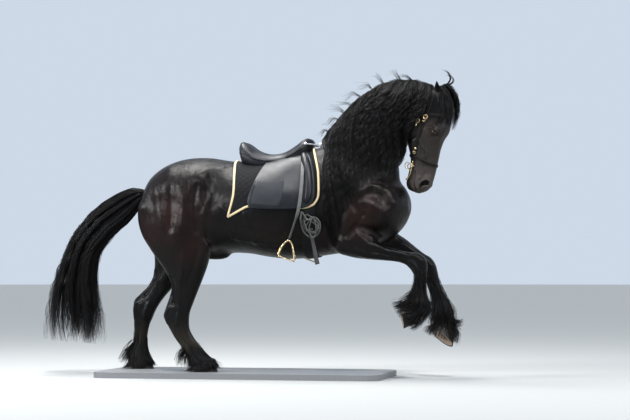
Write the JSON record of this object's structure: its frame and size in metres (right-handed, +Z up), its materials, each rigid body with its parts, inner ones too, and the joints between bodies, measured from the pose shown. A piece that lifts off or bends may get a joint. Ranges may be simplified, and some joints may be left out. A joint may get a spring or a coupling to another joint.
{
  "type": "friesian horse statue",
  "caption": "Life-size black Friesian stallion with lifted forehand and arched neck, long mane and tail, wearing saddle and bridle, on a flat plain base.",
  "frame": {"origin": "middle of the underside of the base", "axes": "+X towards the horse's front, +Y to its left side, +Z up"},
  "size_m": [2.6823, 0.76, 1.9323],
  "materials": {
    "coat": "short glossy black hair coat with a brown sheen",
    "hair": "long wavy black horse hair",
    "hoof": "hoof horn",
    "eye": "wet dark brown eye",
    "leather": "black leather",
    "cloth": "black quilted cloth",
    "binding": "cream braid",
    "brass": "polished brass",
    "steel": "polished steel",
    "base": "satin grey paint"
  },
  "bodies": {
    "root": {"torso": "coat", "neck": "coat", "head": "coat", "ear_right": "coat", "eye_right": "eye", "ear_left": "coat", "eye_left": "eye", "forearm_right": "coat", "cannon_fore_right": "coat", "hoof_fore_right": "hoof", "forearm_left": "coat", "cannon_fore_left": "coat", "hoof_fore_left": "hoof", "thigh_right": "coat", "cannon_hind_right": "coat", "hoof_hind_right": "hoof", "thigh_left": "coat", "cannon_hind_left": "coat", "hoof_hind_left": "hoof", "tail_upper": "hair", "tail_lower": "hair", "saddle_cloth": "cloth", "saddle_cloth_binding": "binding", "saddle_seat": "leather", "girth": "leather", "saddle_flap_right": "leather", "knee_block_right": "leather", "stirrup_leather_right": "leather", "stirrup_iron_right": "brass", "bit_right": "brass", "buckle_brow_right": "brass", "throatlash_right": "leather", "buckle_throat_right": "brass", "pommel_bar_right": "steel", "stud_cheek_right": "brass", "saddle_flap_left": "leather", "knee_block_left": "leather", "stirrup_leather_left": "leather", "stirrup_iron_left": "brass", "bit_left": "brass", "buckle_brow_left": "brass", "throatlash_left": "leather", "buckle_throat_left": "brass", "pommel_bar_left": "steel", "stud_cheek_left": "brass", "knotted_strap": "leather", "headstall": "leather", "browband": "leather", "noseband": "leather", "stand_base": "base"}
  },
  "joints": []
}
